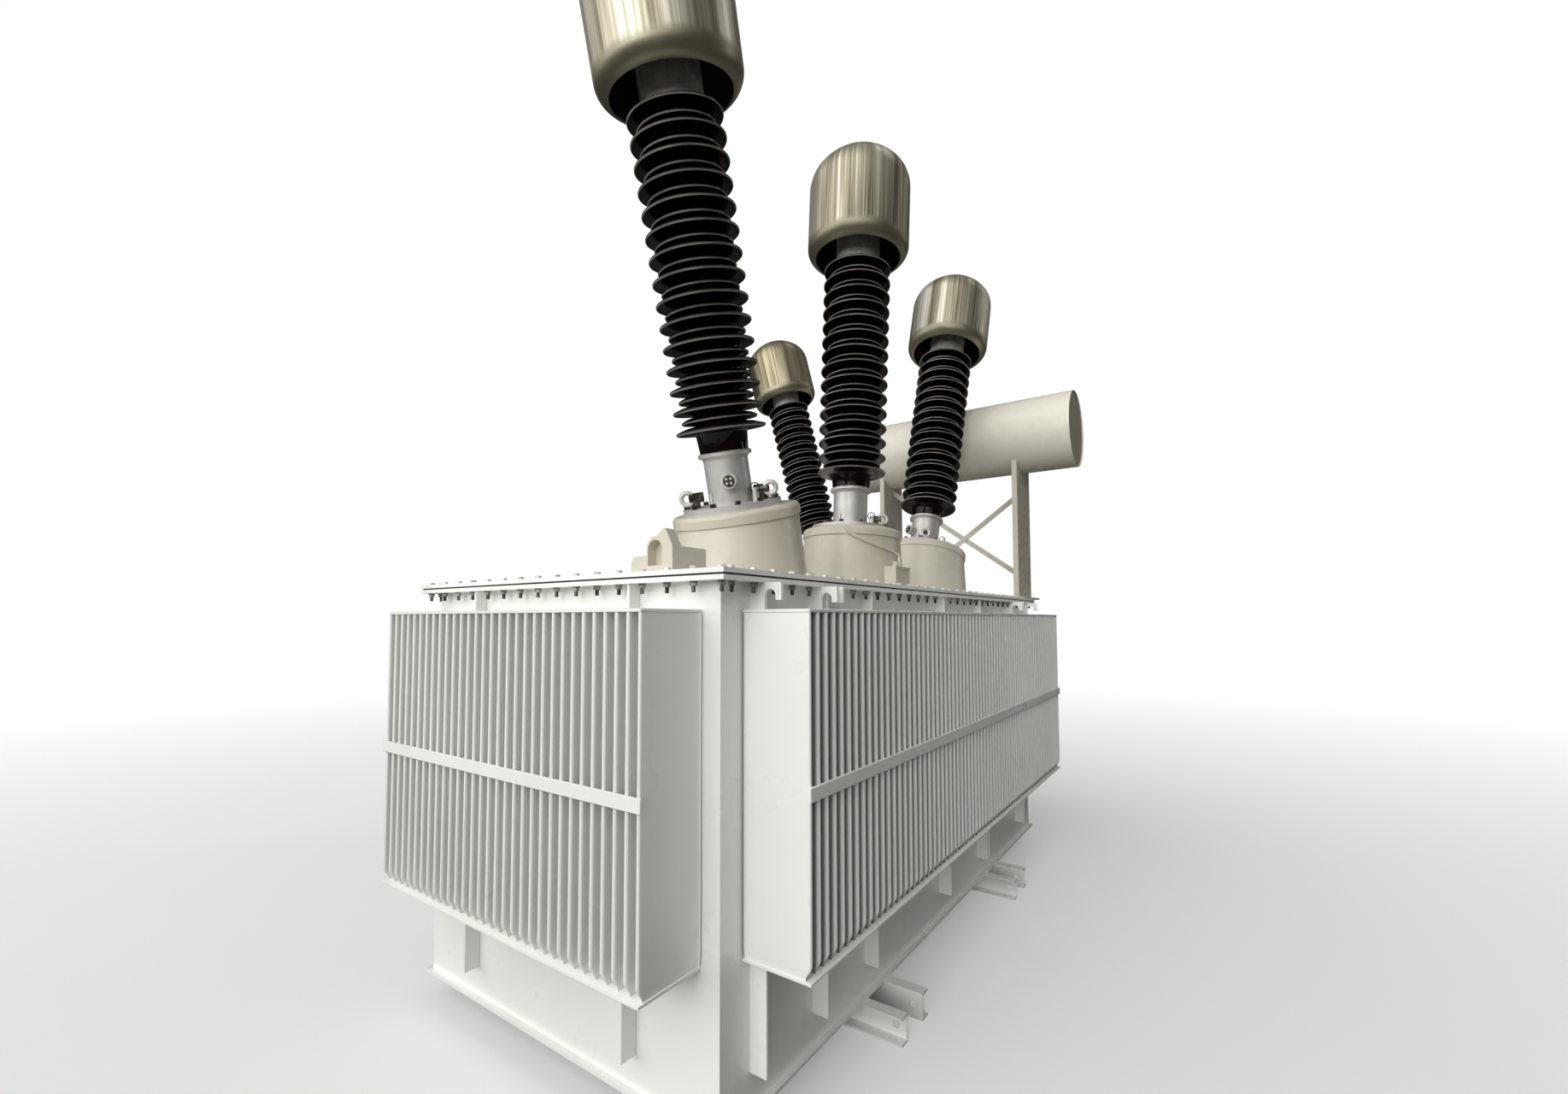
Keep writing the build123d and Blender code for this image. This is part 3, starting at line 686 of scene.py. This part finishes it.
def placed(shape, place):
    """A shape of a bushing's own sizes, carried to the part."""
    (x, y, rise), lean_x, lean_y, size = bushings[place]
    ax, ay = sin(radians(lean_x)), sin(radians(lean_y))
    turn = frame_about((ax, ay, sqrt(1 - ax * ax - ay * ay)))
    shift = np.array([middle[0] + x, middle[1] + y, cover_top + rise])
    return moved((shape[0] * size, shape[1]), shift, turn)


def shed_profile():
    """Outline of the porcelain, and for each of its points how much painted highlight it gets
    on the rims: straight neck, then large and small sheds by turns, each with a domed top, a
    full round rim and an undercut below it."""
    stretches = [np.array([(neck_radius, 0.0), (neck_radius, neck_height)])]
    thin = [np.zeros(2)]
    for i in range(2 * shed_count - 1):
        large = i % 2 == 0
        radius = shed_radius if large else small_shed_radius
        height = lowest_shed + i * shed_pitch / 2
        slope = shed_slope if large else small_shed_slope
        under = np.array(
            [
                (core_radius, height - under_start),
                (core_radius + under_bend[0], height - under_bend[1]),
                ((core_radius + radius) / 2, height - under_middle),
                (radius - under_rim[0], height - rim - under_rim[1]),
            ]
        )
        edge = arc((radius - rim, height), rim, -90, 70, 7)
        share = np.array([0.03, 0.2, 0.4, 0.6, 0.8, 1.0])[:, None]
        top = (1 - share) * edge[-1] + share * np.array([core_radius, height + slope])
        top[:, 1] += shed_dome * np.sin(pi * share[:, 0])
        stretches += [under, edge, top]
        # Painted highlight: the rim's lower points take the pale colour
        thin += [np.zeros(4), np.array([0, 0, 0.9, 0.25, 0, 0, 0]), np.zeros(6)]
    last = lowest_shed + (shed_count - 1) * shed_pitch + core_end
    stretches.append(np.array([(core_radius, last)]))
    thin.append(np.zeros(1))
    return np.concatenate(stretches), np.concatenate(thin)


def hood_profile():
    """Outline of the spun hood from its inside crown round the rolled lip to its outside crown,
    arcs for crown, shoulder and lip that are all one wall apart, and which points lie inside."""
    radius, mouth, lip, wall = hood_radius, hood_mouth, hood_lip, hood_wall
    dome, shoulder = hood_dome, hood_shoulder
    crown = (radius**2 - 2 * radius * shoulder + dome**2) / (2 * (dome - shoulder))
    meeting = degrees(atan2(crown - dome, radius - shoulder))
    turn = degrees(acos((mouth - radius + lip) / lip))
    top = hood_start + hood_side
    crown_middle = (0.0, top + dome - crown)
    shoulder_middle = (radius - shoulder, top)
    lip_middle = (radius - lip, hood_start)
    inside = [
        arc(crown_middle, crown - wall, 90, meeting, 12),
        arc(shoulder_middle, shoulder - wall, meeting, 0, 14)[1:],
        arc(lip_middle, lip - wall, 0, -turn, 10),
    ]
    outside = [
        arc(lip_middle, lip, -turn, 0, 12),
        [(radius, hood_start + lip_band)],
        arc(shoulder_middle, shoulder, 0, meeting, 16),
        arc(crown_middle, crown, meeting, 90, 12)[1:],
    ]
    inner = sum(len(stretch) for stretch in inside)
    points = np.concatenate(inside + outside)
    return points, (np.arange(len(points)) < inner).astype(float)


# Top fitting inside each hood: a round body with eased edges and the stem that holds the hood
head_top = head_foot + head_height
head_fitting = lathe(
    [
        (0.0, head_foot),
        (head_radius - head_edge, head_foot),
        (head_radius, head_foot + head_edge),
        (head_radius, head_top - head_edge),
        (head_radius - head_edge, head_top),
        (stem_radius, head_top),
        (stem_radius, stem_top),
        (0.0, stem_top),
    ],
    64,
)
outline, rim_highlight_share = shed_profile()
insulator = lathe(outline, insulator_sides)
hood_outline, hood_inside = hood_profile()
hood = lathe(hood_outline, hood_sides)
# A streak keeps its place round the axis over the shoulder, and it fades at lip and crown
off_axis = np.hypot(hood[0][:, 0], hood[0][:, 1])
unrolled = hood[0] * (hood_radius / np.maximum(off_axis, 1e-4))[:, None]
unrolled[:, 2] = hood[0][:, 2]
above_lip = np.clip((hood[0][:, 2] - hood_start) / lip_band, 0, 1)
off_crown = np.clip((off_axis - crown_spot) / crown_fade, 0, 1)
for number, place in enumerate(bushings):
    piece = make_piece(
        f"glazed_insulator_{place}",
        placed(insulator, place),
        porcelain_glaze,
        smooth_angle=60,
        replaces=[f"porcelain_{place}"],
    )
    remember(piece, "rim", np.repeat(rim_highlight_share, insulator_sides))
    # The rear hood gets the darker copy of the aluminium as painted shade
    piece = make_piece(
        f"spun_hood_{place}",
        placed(hood, place),
        shaded_aluminium if place == "rear" else spun_aluminium,
        smooth_angle=50,
        replaces=[f"corona_shield_{place}"],
    )
    # A shift far along the streaks gives each hood its own
    remember(piece, "turned", unrolled + (0.0, 0.0, streak_shift * number))
    remember(piece, "rubbed", above_lip * off_crown)
    remember(piece, "inside", np.repeat(hood_inside, hood_sides))
    # Painted highlight: the head fittings take the near-white zinc to look lit under the hoods
    make_piece(
        f"head_fitting_{place}",
        placed(head_fitting, place),
        bright_steel,
        replaces=[f"bushing_head_{place}"],
        merge=True,
    )


def disc(radius, height, around=12):
    """Flat round piece such as a washer or a stud, closed at both ends."""
    return lathe([(0.0, 0.0), (radius, 0.0), (radius, height), (0.0, height)], around)


def hexagon(across, height, chamfer):
    """Hexagon head: six-sided ring with a chamfered top, closed by a flat."""
    radius = across / sqrt(3)
    chamfered = [(radius, height - chamfer), (radius - chamfer, height)]
    return lathe([(0, 0), (radius, 0), *chamfered, (0, height)], 6)


def lifted(shape, height):
    """A shape raised along its own axis."""
    return moved(shape, (0.0, 0.0, height))


# Bolts through cover and flange: heads above, washers, nuts and thread ends below
cover_bolt_pitch = 103 * MM
end_bolt_pitch = 103.7 * MM
bolt_inset = 29 * MM
side_bolts = 33
end_bolts = 16
washer_radius = 13 * MM
washer = 2.5 * MM
bolt_across = 20 * MM
bolt_chamfer = 1.5 * MM
head_depth = 8 * MM
nut_depth = 11 * MM
thread_radius = 6 * MM
thread_reach = 18 * MM
long_row = (np.arange(side_bolts) - (side_bolts - 1) / 2) * cover_bolt_pitch
short_row = (np.arange(end_bolts) - (end_bolts - 1) / 2) * end_bolt_pitch
side_line = half_width + bolt_inset
end_line = half_length + bolt_inset
bolt_places = np.concatenate(
    [np.stack([long_row, 0 * long_row + end * side_line], 1) for end in (-1, 1)]
    + [np.stack([0 * short_row + end * end_line, short_row], 1) for end in (-1, 1)]
)
rng = np.random.default_rng(7)
spins = rng.uniform(0, pi / 3, len(bolt_places))
on_cover = np.column_stack([bolt_places + middle[:2], np.full(len(bolt_places), cover_top)])
under_flange = on_cover * (1, 1, 0) + (0, 0, flange_bottom)
bolt_head = joined(
    disc(washer_radius, washer),
    lifted(hexagon(bolt_across, head_depth, bolt_chamfer), washer),
)
nut = joined(
    lifted(disc(washer_radius, washer), -washer),
    lifted(hexagon(bolt_across, nut_depth, bolt_chamfer), -washer - nut_depth),
)
thread_end = disc(thread_radius, thread_reach, 8)
thread_end = lifted(thread_end, -washer - nut_depth - thread_reach)
for name, shape, shifts, finish in (
    ("cover_bolt_heads", bolt_head, on_cover, bright_steel),
    ("cover_bolt_nuts", nut, under_flange, dull_steel),
    ("cover_bolt_ends", thread_end, under_flange, bolt_steel),
):
    whole = repeated(shape, spins, shifts)
    make_piece(name, whole, finish, smooth_angle=30, merge=True)


# Fittings on the foot flanges: a circle of bolts, and in the front row clamps with a bright
# eye, short upright studs and a vent plug with a ring handle. Turns are in degrees
foot_top = -206 * MM
bolt_circle = 184 * MM
circle_count = 12
flange_washer = 2 * MM
flange_head = 12 * MM
clamp_stub = 17 * MM
clamp_bar = 20 * MM
clamp_length = 58 * MM
clamp_bar_reach = 8 * MM
eye_radius = 33 * MM
eye_wire = 9.5 * MM
stud_turns = 188, 258
stud_circle = 150 * MM
stud_height = 52 * MM
plug_circle = 128 * MM
plug_turn = 268
plug_radius = 13 * MM
plug_height = 36 * MM
handle_radius = 21 * MM
handle_wire = 2.2 * MM
handle_turn = 222


def beside(radius, turn, height):
    """Point beside a bushing's axis, from its radius, its turn in degrees and its height."""
    return np.array([radius * cos(radians(turn)), radius * sin(radians(turn)), height])


def facing(turn):
    """Turn that lays a shape's own axis level, along a turn about the bushing's axis."""
    return frame_about(beside(1.0, turn, 0.0), (0.0, 0.0, 1.0))


def eye(outer, wire, turn):
    """Ring of round wire that stands upright and faces along a turn about the axis."""
    return moved(lathe(arc((outer - wire, 0.0), wire, 0, 360, 9), 20), turn=facing(turn))


def clamp(radius, turn, rise):
    """Clamp body under and beside an eye: a stub on the flange and a level bar towards the
    axis."""
    stub = moved(disc(clamp_stub, rise), beside(radius - 2 * clamp_stub, turn, foot_top))
    start = beside(radius - clamp_bar_reach, turn, foot_top + rise)
    bar = disc(clamp_bar, clamp_length, 16)
    return joined(stub, moved(bar, start, facing(turn + 180)))


# Each clamp: radius, turn about the axis, rise over the foot flange, the way its eye faces
lid_clamps = {
    "left": ((178 * MM, 138, 42 * MM, 219), (168 * MM, 290, 42 * MM, 219)),
    "middle": ((172 * MM, 292, 42 * MM, 222),),
    "right": ((172 * MM, 205, 40 * MM, 222),),
}
angles = (np.arange(circle_count) + 0.5) * 2 * pi / circle_count
circle = bolt_circle * np.stack([np.cos(angles), np.sin(angles), 0 * angles], 1)
circle[:, 2] = foot_top
flange_bolt = joined(
    disc(washer_radius, flange_washer),
    lifted(hexagon(bolt_across, flange_head, bolt_chamfer), flange_washer),
)
flange_bolts = repeated(flange_bolt, angles, circle)
for place in bushings:
    make_piece(
        f"foot_flange_bolts_{place}",
        placed(flange_bolts, place),
        bolt_steel,
        smooth_angle=30,
        merge=True,
    )
for place, clamps in lid_clamps.items():
    bodies = [clamp(radius, turn, rise) for radius, turn, rise, way in clamps]
    handle = moved(
        eye(handle_radius, handle_wire, handle_turn),
        beside(plug_circle, plug_turn, foot_top + stud_height),
    )
    make_piece(
        f"lid_clamps_{place}",
        placed(joined(*bodies, handle), place),
        bolt_steel,
        smooth_angle=40,
        merge=True,
    )
    eyes = [
        moved(eye(eye_radius, eye_wire, way), beside(radius, turn, foot_top + rise))
        for radius, turn, rise, way in clamps
    ]
    studs = [
        moved(disc(thread_radius, stud_height), beside(stud_circle, turn, foot_top))
        for turn in stud_turns
    ]
    plug = disc(plug_radius, plug_height, 16)
    plug = moved(plug, beside(plug_circle, plug_turn, foot_top))
    make_piece(
        f"lid_eyes_{place}",
        placed(joined(*eyes, *studs, plug), place),
        bright_steel,
        smooth_angle=40,
        merge=True,
    )

# Test taps: a bright rim round each housing's face, and a cap with four small bolts in it
tap_turns = {"left": 218, "right": 150}
tap_drop = 115 * MM
tap_face = 132 * MM
rim_inner = 22 * MM
rim_outer = 31 * MM
rim_back = -8 * MM
rim_front = 3 * MM
rim_ease = 1 * MM
rim_bevel = 2 * MM
tap_cap = 21 * MM
tap_cap_reach = 11 * MM
tap_bolt_circle = 12 * MM
tap_bolt_across = 9 * MM
tap_bolt_head = 4 * MM
tap_bolt_chamfer = 1 * MM
rim_section = [
    (rim_inner, rim_back),
    (rim_inner, 0.0),
    (rim_inner + rim_ease, rim_front),
    (rim_outer - rim_ease, rim_front),
    (rim_outer, rim_front - rim_bevel),
    (rim_outer, rim_back),
    (rim_inner, rim_back),
]
angles = (np.arange(4) + 0.5) * pi / 2
ring = tap_bolt_circle * np.stack([np.cos(angles), np.sin(angles), 0 * angles], 1)
ring[:, 2] = tap_cap_reach
tap_bolt = hexagon(tap_bolt_across, tap_bolt_head, tap_bolt_chamfer)
tap_bolts = repeated(tap_bolt, angles, ring)
for place, turn in tap_turns.items():
    face = beside(tap_face, turn, -tap_drop)
    for name, shape, finish in (
        ("tap_rim", lathe(rim_section, 32), bright_steel),
        ("tap_cap", disc(tap_cap, tap_cap_reach, 32), bolt_steel),
        ("tap_bolts", tap_bolts, bright_steel),
    ):
        make_piece(
            f"{name}_{place}",
            placed(moved(shape, face, facing(turn)), place),
            finish,
            smooth_angle=35,
            merge=True,
        )


def tube(path, radius, out, around=10):
    """Round tube along a path of points: at each point a circle of the radius lies square to the
    path, and its first point lies nearest to the direction out. Its ends draw in to a point."""
    path = np.asarray(path, dtype=float)
    ahead = np.gradient(path, axis=0)
    ahead /= np.linalg.norm(ahead, axis=1)[:, None]
    side = np.cross(ahead, out)
    side /= np.linalg.norm(side, axis=1)[:, None]
    other = np.cross(side, ahead)
    angle = (np.arange(around) * 2 * pi / around)[None, :, None]
    circle = np.cos(angle) * other[:, None] + np.sin(angle) * side[:, None]
    rings = path[:, None, :] + radius * circle
    first, last = [np.broadcast_to(end, (1, around, 3)) for end in (path[0], path[-1])]
    rings = np.concatenate([first, rings, last])
    return rings.reshape(-1, 3), grid_faces(len(rings), around, wrap=True)


def smooth_path(corners, count):
    """Points along the quadratic B-spline of a route's corners: each inner corner bends one
    piece, (1 - t)^2 a + 2 t (1 - t) b + t^2 c, between the middles of the runs beside it."""
    corners = np.asarray(corners, dtype=float)
    ends = np.concatenate([corners[:1], (corners[2:-1] + corners[1:-2]) / 2, corners[-1:]])
    t = np.linspace(0, 1, count)[None, :, None]
    a, b, c = ends[:-1, None], corners[1:-1, None], ends[1:, None]
    bends = (1 - t) ** 2 * a + 2 * t * (1 - t) * b + t**2 * c
    return np.concatenate([bends[:, :-1].reshape(-1, 3), corners[-1:]])


# Steel conduit bent round the middle turret, from its lid to the terminal box, by the corners
# of its route
conduit_radius = 8 * MM
conduit_route = [
    (-0.2555, -0.397, 1.985),
    (-0.2885, -0.424, 1.985),
    (-0.2765, -0.464, 1.934),
    (-0.2105, -0.551, 1.889),
    (-0.1185, -0.605, 1.860),
    (-0.0725, -0.621, 1.836),
    (-0.1225, -0.650, 1.826),
    (-0.1585, -0.662, 1.810),
    (-0.1585, -0.662, 1.780),
]
make_piece(
    "terminal_conduit",
    tube(smooth_path(conduit_route, 7), conduit_radius, (0.3, 0.6, 0.74)),
    cream_enamel,
    smooth_angle=60,
    merge=True,
)


def set_stage():
    """Pale floor and a studio sky: broad soft light from the far left, dark behind and to the
    right, and one narrow upright strip at the right that draws lines on round shapes."""
    mesh = bpy.data.meshes.new("floor")
    reach = 60.0
    mesh.from_pydata(
        [(-reach, -reach, 0), (reach, -reach, 0), (reach, reach, 0), (-reach, reach, 0)],
        [],
        [(0, 1, 2, 3)],
    )
    floor = bpy.data.objects.new("floor", mesh)
    bpy.context.scene.collection.objects.link(floor)
    made = bpy.data.materials.new("pale_floor")
    made.use_nodes = True
    tree = made.node_tree
    tree.nodes.clear()
    # What the part sees of the floor is darker than what the camera sees, as under a shop roof
    dim = add(tree, "ShaderNodeBsdfDiffuse", {"Color": srgb("#62605D")})
    pale = add(tree, "ShaderNodeBsdfDiffuse", {"Color": srgb("#F6F6F5")})
    glow = add(tree, "ShaderNodeEmission", {"Color": srgb("#FFFFFF")})
    place = add(tree, "ShaderNodeTexCoord", out="Object")
    away = add(tree, "ShaderNodeVectorMath", {0: place}, out="Value", operation="LENGTH")
    # The camera sees it fade into the white backdrop, from 2.5 to 12 m out
    share = {"Value": away, "From Min": 2.5, "From Max": 12.0, "To Min": 0.25, "To Max": 1.0}
    seen = add(
        tree,
        "ShaderNodeMixShader",
        {0: add(tree, "ShaderNodeMapRange", share), 1: pale, 2: glow},
    )
    camera_ray = add(tree, "ShaderNodeLightPath", out="Is Camera Ray")
    both = add(tree, "ShaderNodeMixShader", {0: camera_ray, 1: dim, 2: seen})
    add(tree, "ShaderNodeOutputMaterial", {"Surface": both})
    mesh.materials.append(made)

    world = bpy.data.worlds.new("studio")
    world.use_nodes = True
    bpy.context.scene.world = world
    tree = world.node_tree
    tree.nodes.clear()
    direction = add(tree, "ShaderNodeTexCoord", out="Generated")
    # Each part of the sky: azimuth and elevation of its middle, the range of the cosine of the
    # angle from it, the levels at the ends of that range, and whether the cosine's sign is
    # dropped. The third is a narrow ring, and the fourth leaves the right half of it
    levels = []
    for azimuth, elevation, near, far, from_level, to_level, even in (
        (173, 17, 0.25, 1.0, 0.03, 2.27, False),
        (0, 90, 0.2, 1.0, 0.0, 0.12, False),
        (48, 0, 0.02, 0.05, 3.8, 0.0, True),
        (318, 0, 0.0, 0.1, 0.0, 1.0, False),
    ):
        a, e = radians(azimuth), radians(elevation)
        towards = (cos(a) * cos(e), sin(a) * cos(e), sin(e))
        value = add(
            tree,
            "ShaderNodeVectorMath",
            {0: direction, 1: towards},
            out="Value",
            operation="DOT_PRODUCT",
        )
        if even:
            value = add(tree, "ShaderNodeMath", {0: value}, operation="ABSOLUTE")
        limits = {"From Min": near, "From Max": far, "To Min": from_level, "To Max": to_level}
        levels.append(
            add(
                tree,
                "ShaderNodeMapRange",
                {"Value": value, **limits},
                interpolation_type="SMOOTHSTEP",
            )
        )
    left, overhead, ring, right_half = levels
    strip = add(tree, "ShaderNodeMath", {0: ring, 1: right_half}, operation="MULTIPLY")
    broad = add(tree, "ShaderNodeMath", {0: left, 1: overhead}, operation="ADD")
    level = add(tree, "ShaderNodeMath", {0: broad, 1: strip}, operation="ADD")
    sky = add(tree, "ShaderNodeBackground", {"Color": srgb("#F8F8F6"), "Strength": level})
    backdrop = add(tree, "ShaderNodeBackground", {"Color": srgb("#FFFFFF"), "Strength": 1.0})
    camera_ray = add(tree, "ShaderNodeLightPath", out="Is Camera Ray")
    mixed = add(tree, "ShaderNodeMixShader", {0: camera_ray, 1: sky, 2: backdrop})
    add(tree, "ShaderNodeOutputWorld", {"Surface": mixed})

    data = bpy.data.lights.new("window", "AREA")
    data.shape = "RECTANGLE"
    data.size = 12.0
    data.size_y = 8.0
    data.energy = 800.0
    lamp = bpy.data.objects.new("window", data)
    place = Vector((-22.0, -1.0, 7.0))
    aim = Vector((0.0, 0.0, 1.4)) - place
    turn = aim.to_track_quat("-Z", "Y").to_matrix().to_4x4()
    lamp.matrix_world = Matrix.Translation(place) @ turn
    bpy.context.scene.collection.objects.link(lamp)
    bpy.context.scene.view_settings.view_transform = "Standard"


set_stage()
